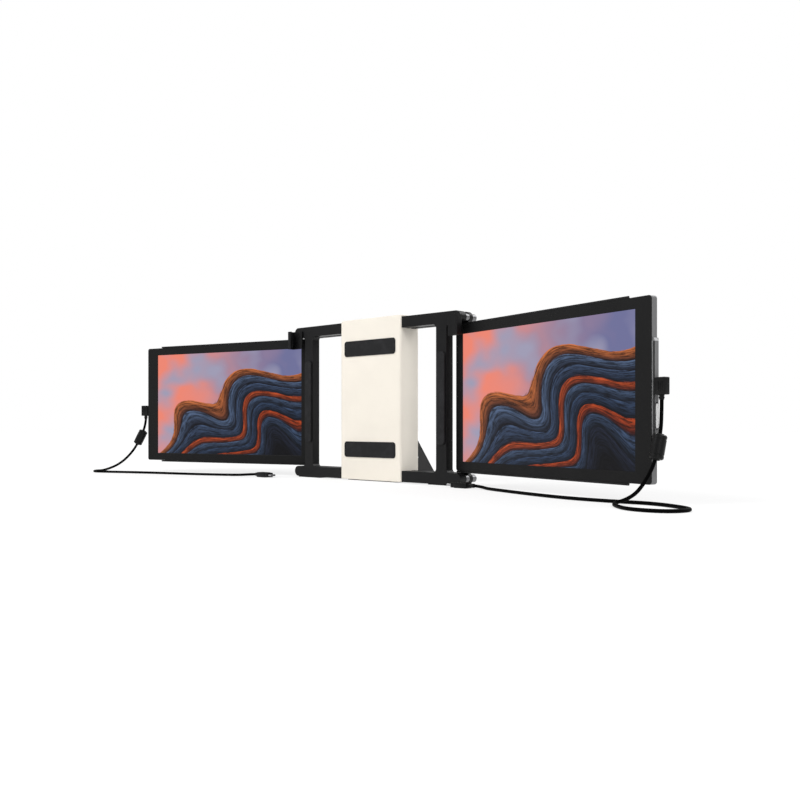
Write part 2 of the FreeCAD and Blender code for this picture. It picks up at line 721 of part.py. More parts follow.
def control_cover(side):
    """The raised cover that wraps the panel's outer edge, over the board, its rims sloped."""
    u0, v1 = PANEL_W - COVER_REACH, PANEL_T + COVER_BACK
    chamfer = COVER_CHAMFER
    seen_from_above = [
        (u0, COVER_FRONT, COVER_LOW), (COVER_FACE - chamfer, COVER_FRONT, COVER_LOW),
        (COVER_FACE, COVER_FRONT + chamfer, COVER_LOW), (COVER_FACE, v1 - chamfer, COVER_LOW),
        (COVER_FACE - chamfer, v1, COVER_LOW), (u0, v1, COVER_LOW),
    ]
    step = COVER_FACE - COVER_END_STEP
    seen_from_front = [
        (u0, 0, COVER_LOW), (step, 0, COVER_LOW), (COVER_FACE, 0, COVER_LOW + COVER_END_SLOPE),
        (COVER_FACE, 0, COVER_HIGH - COVER_END_SLOPE), (step, 0, COVER_HIGH), (u0, 0, COVER_HIGH),
    ]
    block = prism(seen_from_above, VEC(0, 0, COVER_H)).common(prism(seen_from_front, VEC(0, 2 * v1, 0)))
    room = box(0, PANEL_W, 0, PANEL_T, 0, HOUSING_TOP)
    return block.cut([room] + side_openings(side))


def menu_rocker(side):
    """A two-way rocker on short axles, level with its middle."""
    _, z, _ = side_places(side)
    cap = stadium(PANEL_W - ROCKER_DEEP / 2, COVER_FACE + ROCKER_PROUD, ROCKER_V, z, ROCKER_L, ROCKER_W)
    return join([cap, rocker_axle(z, 0)])


def power_button(side):
    _, _, z = side_places(side)
    u1 = COVER_FACE + BUTTON_PROUD
    return rod(BUTTON_R, (u1 - BUTTON_DEEP, BUTTON_V, z), X_AXIS, BUTTON_DEEP)


def lead_exit(side):
    """Where the lead leaves its angled plug at the monitor."""
    u = COVER_FACE + PLUG_SEAT + PLUG_U / 2
    z = LEAD_PORT_Z[side] - PLUG_H / 2 - RELIEF_L
    return seat_point(u, PORT_V, z, side)


def monitor_plug(side):
    """The angled plug: a block on the socket with a strain relief below."""
    z = LEAD_PORT_Z[side]
    u0 = COVER_FACE + PLUG_SEAT
    block = box(u0, u0 + PLUG_U, PORT_V - PLUG_V / 2, PORT_V + PLUG_V / 2,
                z - PLUG_H / 2, z + PLUG_H / 2)
    block = block.makeFillet(PLUG_ROUND, block.Edges)
    relief = Part.makeCone(RELIEF_WIDE, RELIEF_NARROW, RELIEF_L,
                           VEC(u0 + PLUG_U / 2, PORT_V, z - PLUG_H / 2), VEC(0, 0, -1))
    base = rod(RELIEF_WIDE, (u0 + PLUG_U / 2, PORT_V, z - PLUG_H / 2), Z_AXIS, PLUG_ROUND)
    return seat(join([block, relief, base]), side)


def desk_plug(side):
    """The straight plug at the other end, lying on the table and pointing inward."""
    sign = SIDES[side]
    x, y = LEAD_END[side]
    z = DESK_PLUG_H / 2
    x1 = abs(x) - DESK_RELIEF_L
    block = box(x1 - DESK_PLUG_L, x1, -DESK_PLUG_W / 2, DESK_PLUG_W / 2, 0, DESK_PLUG_H)
    block = rounded(block, PLUG_ROUND, X_AXIS)
    relief = Part.makeCone(RELIEF_WIDE, RELIEF_NARROW, DESK_RELIEF_L, VEC(x1, 0, z), X_AXIS)
    plug = join([block, relief])
    plug = plug if sign > 0 else plug.mirror(VEC(0, 0, 0), X_AXIS)
    plug.translate(VEC(0, y, 0))
    return plug


def plug_tip(u1, v, z):
    """A hollow metal tip whose root is at u1 and which points inward."""
    body = stadium(u1 - TIP_L, u1, v, z, TIP_W, TIP_T)
    hollow = stadium(u1 - 2 * TIP_L, u1 - TIP_ROOT, v, z, TIP_W - 2 * PORT_WALL, TIP_T - 2 * PORT_WALL)
    return body.cut(hollow)


def plug_tips(side):
    """The metal tips of both plugs."""
    near = seat(plug_tip(COVER_FACE + PLUG_SEAT, PORT_V, LEAD_PORT_Z[side]), side)
    x, y = LEAD_END[side]
    far = plug_tip(abs(x) - DESK_RELIEF_L - DESK_PLUG_L, 0, 0)
    far.rotate(VEC(0, 0, 0), X_AXIS, 90)
    far = to_side(far, side)
    far.translate(VEC(0, y, DESK_PLUG_H / 2))
    return [near, far]


def lead_points(side):
    x, y = LEAD_END[side]
    points = [lead_exit(side)]
    for point in LEAD_ROUTES[side]:
        points.append(VEC(*point))
    points.append(VEC(x, y, DESK_PLUG_H / 2))
    return points


def lead_path(points):
    """Straight runs joined by arcs, each arc as large as its two runs allow."""
    edges = []
    radii = []
    here = points[0]
    for before, corner, after in zip(points, points[1:], points[2:]):
        back = (before - corner).normalize()
        ahead = (after - corner).normalize()
        turn = math.pi - back.getAngle(ahead)
        reach = ARC_SHARE * min((before - corner).Length, (after - corner).Length)
        radius = reach / math.tan(turn / 2)
        start = corner + back * reach
        end = corner + ahead * reach
        inward = (back + ahead).normalize()
        middle = corner + inward * (radius / math.cos(turn / 2) - radius)
        edges.append(Part.LineSegment(here, start).toShape())
        edges.append(Part.Arc(start, middle, end).toShape())
        radii.append(radius)
        here = end
    edges.append(Part.LineSegment(here, points[-1]).toShape())
    return Part.Wire(edges), radii


def lead(side):
    points = lead_points(side)
    path, radii = lead_path(points)
    section = Part.Wire(Part.makeCircle(LEAD_R, points[0], points[1] - points[0]))
    tube = path.makePipeShell([section], True, False)
    tube = Part.Solid(tube) if not tube.Solids else tube.Solids[0]
    expected = math.pi * LEAD_R ** 2 * path.Length
    print(side, "lead", round(path.Length), "mm, radii", [round(r) for r in radii])
    print(side, "lead volume against section by length", round(tube.Volume / expected, 4))
    return tube


def ferrite(side):
    """The ferrite core's moulded sleeve, threaded on the lead."""
    points = lead_points(side)
    first, second = points[2], points[3]
    axis = (second - first).normalize()
    middle = first + (second - first) * FERRITE_SHARE[side]
    start = middle - axis * (FERRITE_L / 2)
    sleeve = Part.makeCylinder(FERRITE_R, FERRITE_L, start, axis)
    rims = [edge for edge in sleeve.Edges if isinstance(edge.Curve, Part.Circle)]
    sleeve = sleeve.makeChamfer(FERRITE_CHAMFER, rims)
    return sleeve.cut(Part.makeCylinder(FERRITE_BORE_R, FERRITE_L, start, axis))


def save_centre():
    save("housing_front", housing_shell(True))
    save("housing_rear", housing_shell(False))
    save("housing_screws", housing_screws())
    save("chassis", chassis())
    save("rail_guides", rail_guides())
    save("housing_pads", housing_pads())
    save("housing_foot", housing_foot())
    save("kickstand_leg", lean(kickstand_plate()))
    save("kickstand_tip", lean(kickstand_tip()))
    save("kickstand_pin", kickstand_pin())


def save_arm(side):
    makers = {
        "arm_frame": arm_frame, "slide_rails": slide_rails, "arm_back": arm_back,
        "arm_caps": arm_caps, "arm_screws": arm_screws, "hinge_pins": hinge_pins,
        "lid_claw": lid_claw, "grip_pads": grip_pads, "arm_foot": arm_foot,
    }
    for name, maker in makers.items():
        made = maker()
        made = made if isinstance(made, list) else [made]
        save(side + "_" + name, [to_side(shape, side) for shape in made])


def save_monitor(side):
    pieces = {
        "tray": [tray()],
        "hinge_bushes": hinge_bushes(),
        "tray_screws": tray_screws(),
        "back_shell": [back_shell(side)],
        "bezel": [bezel()],
        "display_cell": [layer_behind_window(CELL_EDGE, CELL_V, CELL_T)],
        "backlight": [layer_behind_window(BACKLIGHT_EDGE, BACKLIGHT_V, BACKLIGHT_T)],
        "board": [board()],
        "socket": [socket(side)],
        "control_cover": [control_cover(side)],
        "menu_rocker": [menu_rocker(side)],
        "power_button": [power_button(side)],
    }
    for name, shapes in pieces.items():
        save(side + "_" + name, [seat(shape, side) for shape in shapes])
    save(side + "_lead_plugs", [monitor_plug(side), desk_plug(side)])
    save(side + "_plug_tips", plug_tips(side))
    save(side + "_lead", lead(side))
    save(side + "_ferrite", ferrite(side))


def main():
    os.makedirs("parts", exist_ok=True)
    save_centre()
    for side in SIDES:
        save_arm(side)
        save_monitor(side)


main()
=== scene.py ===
import json
import math

import bpy
from mathutils import Matrix, Vector


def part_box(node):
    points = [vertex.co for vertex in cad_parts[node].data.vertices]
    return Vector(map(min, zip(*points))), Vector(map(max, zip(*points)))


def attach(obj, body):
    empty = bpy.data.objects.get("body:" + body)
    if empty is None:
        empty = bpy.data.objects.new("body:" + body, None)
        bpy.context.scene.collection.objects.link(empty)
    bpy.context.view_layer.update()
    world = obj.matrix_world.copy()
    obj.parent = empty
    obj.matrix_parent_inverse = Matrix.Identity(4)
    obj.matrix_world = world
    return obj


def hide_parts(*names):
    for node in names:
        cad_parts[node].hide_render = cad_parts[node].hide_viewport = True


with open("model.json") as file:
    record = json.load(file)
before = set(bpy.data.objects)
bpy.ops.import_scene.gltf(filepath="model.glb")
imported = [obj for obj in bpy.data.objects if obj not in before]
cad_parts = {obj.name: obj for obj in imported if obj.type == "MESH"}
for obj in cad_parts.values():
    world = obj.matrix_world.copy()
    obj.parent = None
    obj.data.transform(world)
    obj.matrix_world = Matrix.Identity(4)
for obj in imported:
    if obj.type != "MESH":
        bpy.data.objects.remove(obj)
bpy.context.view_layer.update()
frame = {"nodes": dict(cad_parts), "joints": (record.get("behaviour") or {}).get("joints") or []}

# Laptop screen extender, dressed for the studio. Metres, in the frame of the solids.
MM = 0.001
TINY = 0.01 * MM
SIDES = {"right": 1, "left": -1}
JOINTS = {joint["name"]: joint for joint in frame["joints"]}

# Monitors, drawn flat (u outward, v backward from the bezel) and then seated on their hinges
TOE_IN = math.radians(14.75)
PIVOT_U = 6.0 * MM
PIVOT_V = 11.4 * MM
SCREEN_EDGE = 2.4 * MM
COVER_FACE = 299.5 * MM
PORT_V = 3.9 * MM
LEAD_PORT_Z = {"right": 106.6 * MM, "left": 93.4 * MM}

# The control cover's outer side: its edges and the rocker, with thin sheets of painted highlight and painted
# shade laid on them
PANEL_SIDE = 297.5 * MM
COVER_FRONT = 1.5 * MM
COVER_BACK = 8.6 * MM
COVER_CHAMFER = 1.2 * MM
COVER_END_SLOPE = 3.2 * MM
COVER_END_STEP = 1.4 * MM
# Thickness of the thin sheets that carry the painted highlights and painted shade
PAINT_SHEET_T = 0.12 * MM
# Width of the painted highlight lines
HIGHLIGHT_W = 0.4 * MM
ROCKER_OFFSET = -26.8 * MM
ROCKER_V = 5.2 * MM
ROCKER_SLOT = (23.2 * MM, 3.0 * MM)
# Width of the painted shade ring round the rocker's slot
ROCKER_SHADE_W = 0.8 * MM

# Leads and their plugs
LEAD_R = 1.75 * MM
LEAD_Z = 1.85 * MM
PLUG_U = 12.7 * MM
PLUG_V = 7.0 * MM
PLUG_H = 15.8 * MM
PLUG_SEAT = 0.3 * MM
PLUG_ROUND = 0.9 * MM
PLUG_COLLAR = 2.3 * MM
COLLAR_STEP = 0.6 * MM
COLLAR_ROUND = 0.5 * MM
GRIP_BANDS = (0.32, 0.52, 0.72)
GRIP_BAND_SHARE = 0.62
BAND_W = 1.0 * MM
BAND_T = 0.3 * MM
BAND_ROUND = 0.14 * MM
RELIEF_L = 4.5 * MM
RELIEF_R = 2.6 * MM
RELIEF_TAPER = 0.15 * MM
RELIEF_RIBS = 2
GROOVE_DEPTH = 0.35 * MM
GROOVE_SHARE = 0.22
GROOVE_SLOPE = 0.4
DESK_PLUG = (23.0 * MM, 11.0 * MM, 6.8 * MM)
DESK_BODY_SHARE = 0.78
DESK_ROUND = 1.0 * MM
DESK_NOSE_SHARE = 0.3
DESK_NOSE_STEP = 0.8 * MM
DESK_NOSE_ROUND = 0.8 * MM
DESK_BANDS = (0.2, 0.3, 0.4, 0.5)
DESK_BAND_SHARE = 0.6
DESK_RELIEF_L = 8.0 * MM
DESK_RELIEF_SUNK = 1.0 * MM
DESK_RELIEF_TAPER = 0.3 * MM
DESK_RELIEF_RIBS = 4
FERRITE_R = 6.5 * MM
FERRITE_L = 24.0 * MM
FERRITE_BORE_R = 2.3 * MM
FERRITE_RING_R = FERRITE_R - 0.35 * MM
FERRITE_SHARE = {"right": 0.48, "left": 0.25}

# The ferrite's outline from its bore to its middle, as radius and height pairs
FERRITE_PROFILE = (
    (FERRITE_BORE_R, 0.9 * MM), (FERRITE_BORE_R, 0.0), (3.3 * MM, 0.0), (3.6 * MM, 0.7 * MM),
    (5.4 * MM, 0.9 * MM), (FERRITE_R, 2.0 * MM), (FERRITE_R, 4.2 * MM),
    (FERRITE_RING_R, 4.5 * MM), (FERRITE_RING_R, 5.1 * MM), (FERRITE_R, 5.4 * MM),
)

# The route of each lead on its way from the plug at the monitor to the plug on the table
LEAD_ROUTES = {
    "right": (
        (0.4290, -0.0784, 0.0840), (0.4290, -0.0800, 0.0660), (0.4267, -0.0862, 0.0370),
        (0.4150, -0.0920, 0.0135), (0.4040, -0.0940, 0.0050), (0.3975, -0.1065, LEAD_Z),
        (0.4085, -0.1260, LEAD_Z), (0.4340, -0.1490, LEAD_Z), (0.4680, -0.1460, LEAD_Z),
        (0.4780, -0.1170, LEAD_Z), (0.4520, -0.0970, LEAD_Z), (0.4200, -0.0850, LEAD_Z),
        (0.3860, -0.0900, LEAD_Z), (0.3350, -0.0870, LEAD_Z), (0.2820, -0.0710, LEAD_Z),
        (0.2320, -0.0515, LEAD_Z), (0.2060, -0.0410, LEAD_Z), (0.1930, -0.0345, 0.0029),
        (0.1820, -0.0330, 0.0034),
    ),
    "left": (
        (-0.4295, -0.0786, 0.0720), (-0.4324, -0.0817, 0.0585), (-0.4405, -0.0910, 0.0330),
        (-0.4520, -0.1070, 0.0120), (-0.4630, -0.1280, LEAD_Z), (-0.4600, -0.1460, LEAD_Z),
        (-0.4450, -0.1560, LEAD_Z), (-0.4250, -0.1500, LEAD_Z), (-0.3880, -0.1330, LEAD_Z),
        (-0.3380, -0.1140, LEAD_Z), (-0.2840, -0.0990, LEAD_Z), (-0.2320, -0.0790, LEAD_Z),
        (-0.2070, -0.0645, LEAD_Z), (-0.1930, -0.0580, 0.0029),
        (-0.1820, -0.0560, 0.0034),
    ),
}

# Screws
SCREW_HEAD_R = 2.2 * MM
SCREW_HEAD_T = 1.4 * MM
SCREW_SHANK_R = 1.2 * MM
SCREW_RIM = 0.25 * MM
HEXAGON_R = 0.56 * SCREW_HEAD_R
ARM_SCREW_SKEW = 1.0 * MM

# Finishes: how fine their patches, scratches, pebbles and tracks are, and how deep
PATCH_SCALE = 22.0
PATCH_RANGE = (0.35, 0.65)
GLOSS_SCALE = 60.0
NOISE_RANGE = (0.3, 0.7)
GRAIN_DEPTH = 0.02 * MM
SCRATCH_ACROSS = 1400.0
SCRATCH_ALONG = 18.0
SCRATCH_DEPTH = 0.01 * MM
PEBBLE_SCALE = 1500.0
PEBBLE_DEPTH = 0.03 * MM
DUST_SCALE = 90.0
DUST_RANGE = (0.45, 0.75)
TRACK_SCALE = 160.0
SOFT_EDGE = 0.35 * MM

# Studio: the floor in metres from its middle, and each lamp's place, size and power
FLOOR_SIZE = 12.0
FLOOR_COLOUR = (0.88, 0.88, 0.88)
FLOOR_GLOW = 1.05
FLOOR_FADE_START = 0.55
FLOOR_FADE_END = 1.1
FLOOR_WHITE = 0.62
ROOM_LIGHT = 0.55
LAMP_AIM = (0, 0, 0.1)
LAMPS = {
    "key": ((-0.9, -1.5, 1.9), 1.6, 34.0),
    "fill": ((1.7, -0.9, 1.2), 1.4, 16.0),
    "rim": ((0.6, 1.5, 1.6), 1.4, 18.0),
}

# Camera: level, low and to the right of the object
EYE = (0.79406, -0.81351, 0.07213)
VIEW_TURN = math.radians(42.92)
LENS = 39.72
VIEW_SHIFT = 0.03055
SENSOR_W = 36.0


def deselect():
    if bpy.context.mode != "OBJECT":
        bpy.ops.object.mode_set(mode="OBJECT")
    bpy.ops.object.select_all(action="DESELECT")


def take(piece):
    """Make one piece the active and only selected one."""
    deselect()
    piece.select_set(True)
    bpy.context.view_layer.objects.active = piece
    return piece


def seat_matrix(side):
    """Carries a flat monitor piece onto its hinge, mirrored for the left."""
    pivot = Vector(JOINTS["right_monitor_swing"]["pos_m"])
    seat = Matrix.Translation((pivot.x, pivot.y, 0)) @ Matrix.Rotation(-TOE_IN, 4, "Z")
    seat = seat @ Matrix.Translation((-PIVOT_U, -PIVOT_V, 0))
    return Matrix.Diagonal((SIDES[side], 1, 1, 1)) @ seat


def settle(piece, name, body, material, smooth=35):
    """Apply a made piece's transforms, name it and tie it to its body and material."""
    take(piece)
    bpy.ops.object.transform_apply(location=True, rotation=True, scale=True)
    bpy.ops.object.mode_set(mode="EDIT")
    bpy.ops.mesh.select_all(action="SELECT")
    bpy.ops.mesh.normals_make_consistent(inside=False)
    bpy.ops.object.mode_set(mode="OBJECT")
    piece.name = name
    piece.data.name = name
    piece.data.materials.clear()
    piece.data.materials.append(material)
    bpy.ops.object.shade_smooth_by_angle(angle=math.radians(smooth))
    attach(piece, body)
    return piece


def gather(pieces):
    """Join made pieces into the first of them."""
    deselect()
    for piece in pieces:
        piece.select_set(True)
    bpy.context.view_layer.objects.active = pieces[0]
    bpy.ops.object.join()
    return bpy.context.active_object


def place(piece, matrix):
    """Move a made piece by a matrix and bake the move into its mesh."""
    piece.matrix_world = matrix @ piece.matrix_world
    take(piece)
    bpy.ops.object.transform_apply(location=True, rotation=True, scale=True)
    return piece


def block(centre, size, bevel=0.0, segments=3):
    """A box with rounded edges."""
    deselect()
    bpy.ops.mesh.primitive_cube_add(size=1, location=centre)
    piece = bpy.context.active_object
    piece.scale = size
    bpy.ops.object.transform_apply(location=True, rotation=True, scale=True)
    if bevel:
        bpy.ops.object.mode_set(mode="EDIT")
        bpy.ops.mesh.select_all(action="SELECT")
        bpy.ops.mesh.bevel(offset=bevel, segments=segments, affect="EDGES")
        bpy.ops.object.mode_set(mode="OBJECT")
    return piece


def turned(profile, sides=32):
    """A solid turned round Z from radius and height pairs, closed at both ends."""
    deselect()
    first_r, first_z = profile[0]
    bpy.ops.mesh.primitive_circle_add(vertices=sides, radius=first_r, location=(0, 0, first_z),
                                      fill_type="NGON")
    piece = bpy.context.active_object
    bpy.ops.object.transform_apply(location=True, rotation=True, scale=True)
    bpy.ops.object.mode_set(mode="EDIT")
    bpy.ops.mesh.select_all(action="SELECT")
    for (r0, z0), (r1, z1) in zip(profile, profile[1:]):
        bpy.ops.mesh.extrude_region_move(TRANSFORM_OT_translate={"value": (0, 0, z1 - z0)})
        bpy.ops.transform.resize(value=(r1 / r0, r1 / r0, 1), center_override=(0, 0, z1))
    bpy.ops.object.mode_set(mode="OBJECT")
    return piece


def cut_out(piece, cutter):
    """Cut one made piece's shape out of another, and drop the cutter."""
    take(piece)
    cut = piece.modifiers.new("cut", "BOOLEAN")
    cut.operation = "DIFFERENCE"
    cut.object = cutter
    bpy.ops.object.modifier_apply(modifier="cut")
    bpy.data.objects.remove(cutter)
    return piece


def aim(start, direction):
    """Carries the Z axis at the origin to a start and a direction."""
    turn = Vector((0, 0, 1)).rotation_difference(Vector(direction)).to_matrix().to_4x4()
    return Matrix.Translation(start) @ turn


def ribbed(radius_start, radius_end, length, ribs):
    """The profile of a strain relief: rings with narrow grooves between them."""
    profile = [(radius_start, 0.0)]
    gap = length / ribs * GROOVE_SHARE
    for rib in range(ribs):
        low, high = rib / ribs, (rib + 1) / ribs
        radius = radius_start + (radius_end - radius_start) * low
        top = length * high
        profile += [(radius, top - 2 * gap), (radius - GROOVE_DEPTH, top - (2 - GROOVE_SLOPE) * gap),
                    (radius - GROOVE_DEPTH, top - GROOVE_SLOPE * gap)]
        profile.append((radius_start + (radius_end - radius_start) * high, top))
    return profile


def monitor_plug(side):
    """The angled plug: a collar at the socket, a body with flush grip bands, a ribbed relief."""
    z = LEAD_PORT_Z[side]
    root = COVER_FACE + PLUG_SEAT
    collar_l = PLUG_COLLAR + PLUG_ROUND
    collar = block((root + collar_l / 2, PORT_V, z),
                   (collar_l, PLUG_V - COLLAR_STEP, PLUG_H - COLLAR_STEP), COLLAR_ROUND)
    length = PLUG_U - PLUG_COLLAR
    body = block((root + PLUG_COLLAR + length / 2, PORT_V, z), (length, PLUG_V, PLUG_H), PLUG_ROUND, 4)
    pieces = [collar, body]
    for face in (-1, 1):
        for share in GRIP_BANDS:
            spot = (root + PLUG_COLLAR + length * share, PORT_V + face * (PLUG_V - BAND_T) / 2, z)
            pieces.append(block(spot, (BAND_W, BAND_T, PLUG_H * GRIP_BAND_SHARE), BAND_ROUND, 2))
    relief = turned(ribbed(RELIEF_R, RELIEF_R - RELIEF_TAPER, RELIEF_L + PLUG_ROUND, RELIEF_RIBS))
    place(relief, aim((root + PLUG_U / 2, PORT_V, z - PLUG_H / 2 + PLUG_ROUND), (0, 0, -1)))
    return place(gather(pieces + [relief]), seat_matrix(side))


def desk_plug(side):
    """The straight plug at the other end: a flat body, a narrower nose and a ribbed relief."""
    long, wide, high = DESK_PLUG
    end = Vector(LEAD_ROUTES[side][-1])
    root = abs(end.x) - DESK_RELIEF_L
    body_l, nose_l = long * DESK_BODY_SHARE, long * DESK_NOSE_SHARE
    body = block((root - body_l / 2, 0, high / 2), (body_l, wide, high), DESK_ROUND, 4)
    nose = block((root - long + nose_l / 2, 0, high / 2),
                 (nose_l, wide - DESK_NOSE_STEP, high - DESK_NOSE_STEP), DESK_NOSE_ROUND)
    pieces = [body, nose]
    for height in (BAND_T / 2, high - BAND_T / 2):
        for share in DESK_BANDS:
            pieces.append(block((root - long * share, 0, height),
                                (BAND_W, wide * DESK_BAND_SHARE, BAND_T), BAND_ROUND, 2))
    relief = turned(ribbed(RELIEF_R, RELIEF_R - DESK_RELIEF_TAPER, DESK_RELIEF_L + DESK_RELIEF_SUNK,
                           DESK_RELIEF_RIBS))
    place(relief, aim((root - DESK_RELIEF_SUNK, 0, high / 2), (1, 0, 0)))
    lying = Matrix.Diagonal((SIDES[side], 1, 1, 1)) @ Matrix.Translation((0, end.y, 0))
    return place(gather(pieces + [relief]), lying)


def lead_plugs(side):
    """Both plugs of one lead as one piece."""
    plugs = gather([monitor_plug(side), desk_plug(side)])
    settle(plugs, side + "_moulded_plugs", side + "_monitor", PLUG)
    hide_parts(side + "_lead_plugs")
    return plugs


def ferrite_sleeve(side):
    """The ferrite's moulded sleeve: chamfered ends, a collar at each and two shallow rings."""
    first, second = Vector(LEAD_ROUTES[side][1]), Vector(LEAD_ROUTES[side][2])
    along = (second - first).normalized()
    start = first + (second - first) * FERRITE_SHARE[side] - along * (FERRITE_L / 2)
    outline = [*FERRITE_PROFILE]
    outline += [(radius, FERRITE_L - height) for radius, height in reversed(FERRITE_PROFILE)]
    sleeve = place(turned(outline, 40), aim(start, along))
    sleeve = settle(sleeve, side + "_ferrite_sleeve", side + "_monitor", PLUG)
    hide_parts(side + "_ferrite")
    return sleeve


def upright_oval(u, v, z, thick, high, wide):
    """A flat piece with round ends, its long axis upright and its thickness along u."""
    deselect()
    bpy.ops.mesh.primitive_cylinder_add(vertices=32, radius=wide / 2, depth=thick,
                                        rotation=(0, math.radians(90), 0))
    piece = bpy.context.active_object
    bpy.ops.object.transform_apply(location=True, rotation=True, scale=True)
    for half in (1, -1):
        bpy.ops.object.mode_set(mode="EDIT")
        bpy.ops.mesh.select_mode(type="VERT")
        bpy.ops.mesh.select_all(action="DESELECT")
        bpy.ops.object.mode_set(mode="OBJECT")
        for vertex in piece.data.vertices:
            vertex.select = vertex.co.z * half > TINY
        bpy.ops.object.mode_set(mode="EDIT")
        bpy.ops.transform.translate(value=(0, 0, half * (high - wide) / 2))
        bpy.ops.object.mode_set(mode="OBJECT")
    return place(piece, Matrix.Translation((u, v, z)))


def rocker_shade_ring(z):
    """A dark ring of painted shade round the rocker's slot, where its recess falls in shade."""
    high, wide = ROCKER_SLOT
    grow = 2 * ROCKER_SHADE_W
    ring = upright_oval(COVER_FACE, ROCKER_V, z, PAINT_SHEET_T, high + grow, wide + grow)
    hole = upright_oval(COVER_FACE, ROCKER_V, z, 4 * PAINT_SHEET_T, high, wide)
    return cut_out(ring, hole)


def cover_painted_light(side):
    """Painted highlights as light lines at the cover's front edge, back edge and sloped top end; painted
    shade as a dark sheet on its front chamfer and a dark ring round the rocker's slot.
    """
    low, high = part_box(side + "_control_cover")
    bottom, top = low.z + COVER_END_SLOPE, high.z - COVER_END_SLOPE
    middle = (low.z + high.z) / 2
    half = COVER_CHAMFER / 2
    # Painted highlights: light grey sheets along the front edge, the back edge and the sloped top end
    front_highlight = block((PANEL_SIDE, COVER_FRONT - HIGHLIGHT_W / 2, middle), (PAINT_SHEET_T, HIGHLIGHT_W, top - bottom))
    back_highlight = block((COVER_FACE - half, COVER_BACK - half, middle), (PAINT_SHEET_T, HIGHLIGHT_W, top - bottom))
    slope_highlight = block((0, 0, 0), (PAINT_SHEET_T, COVER_BACK - COVER_FRONT - 2 * COVER_CHAMFER,
                              math.hypot(COVER_END_STEP, COVER_END_SLOPE) - HIGHLIGHT_W))
    lean = Matrix.Rotation(-math.atan2(COVER_END_STEP, COVER_END_SLOPE), 4, "Y")
    spot = (COVER_FACE - COVER_END_STEP / 2, (COVER_FRONT + COVER_BACK) / 2, high.z - COVER_END_SLOPE / 2)
    place(slope_highlight, Matrix.Translation(spot) @ lean)
    bright = place(gather([front_highlight, back_highlight, slope_highlight]), seat_matrix(side))
    settle(bright, side + "_cover_painted_light", side + "_monitor", HIGHLIGHT_PAINT)

    # Painted shade: a dark sheet on the front chamfer and a dark ring round the rocker's slot, in the plugs'
    # black
    chamfer = block((0, 0, 0), (PAINT_SHEET_T, COVER_CHAMFER, top - bottom))
    spot = (COVER_FACE - half, COVER_FRONT + half, middle)
    place(chamfer, Matrix.Translation(spot) @ Matrix.Rotation(math.radians(-45), 4, "Z"))
    ring = rocker_shade_ring(LEAD_PORT_Z[side] + SIDES[side] * ROCKER_OFFSET)
    dark = place(gather([chamfer, ring]), seat_matrix(side))
    settle(dark, side + "_cover_painted_shade", side + "_monitor", PLUG)


def hex_screw(reach):
    """A screw along Z: its head's top at zero, a hexagon sunk in it, its shank downward."""
    deselect()
    bpy.ops.mesh.primitive_cylinder_add(vertices=24, radius=SCREW_HEAD_R, depth=SCREW_HEAD_T,
                                        location=(0, 0, -SCREW_HEAD_T / 2))
    head = bpy.context.active_object
    bpy.ops.object.transform_apply(location=True, rotation=True, scale=True)
    bpy.ops.mesh.primitive_cylinder_add(vertices=6, radius=HEXAGON_R, depth=SCREW_HEAD_T,
                                        location=(0, 0, 0))
    cutter = bpy.context.active_object
    take(head)
    rim = head.modifiers.new("rim", "BEVEL")
    rim.width = SCREW_RIM
    rim.segments = 2
    rim.angle_limit = math.radians(50)
    bpy.ops.object.modifier_apply(modifier="rim")
    cut_out(head, cutter)
    deselect()
    bpy.ops.mesh.primitive_cylinder_add(vertices=12, radius=SCREW_SHANK_R, depth=reach - SCREW_HEAD_T,
                                        location=(0, 0, -(reach + SCREW_HEAD_T) / 2))
    return gather([head, bpy.context.active_object])


def screw_set(name, node, body, columns, inset):
    """Screws with their heads to the back, two in each column, in the room of the solids' plain ones."""
    low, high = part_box(node)
    screws = []
    for x in columns:
        for z in (low.z + inset, high.z - inset):
            screws.append(place(hex_screw(high.y - low.y), aim((x, high.y, z), (0, 1, 0))))
    screws = settle(gather(screws), name, body, STEEL, 30)
    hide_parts(node)


def all_screws():
    inset = SCREW_HEAD_R
    low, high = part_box("housing_screws")
    screw_set("housing_hex_screws", "housing_screws", "housing", (low.x + inset, high.x - inset), inset)
    for side in SIDES:
        node = side + "_arm_screws"
        low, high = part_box(node)
        middle = (low.x + high.x) / 2 + SIDES[side] * ARM_SCREW_SKEW
        screw_set(side + "_arm_hex_screws", node, side + "_arm",
                  (low.x + inset, middle, high.x - inset), inset)


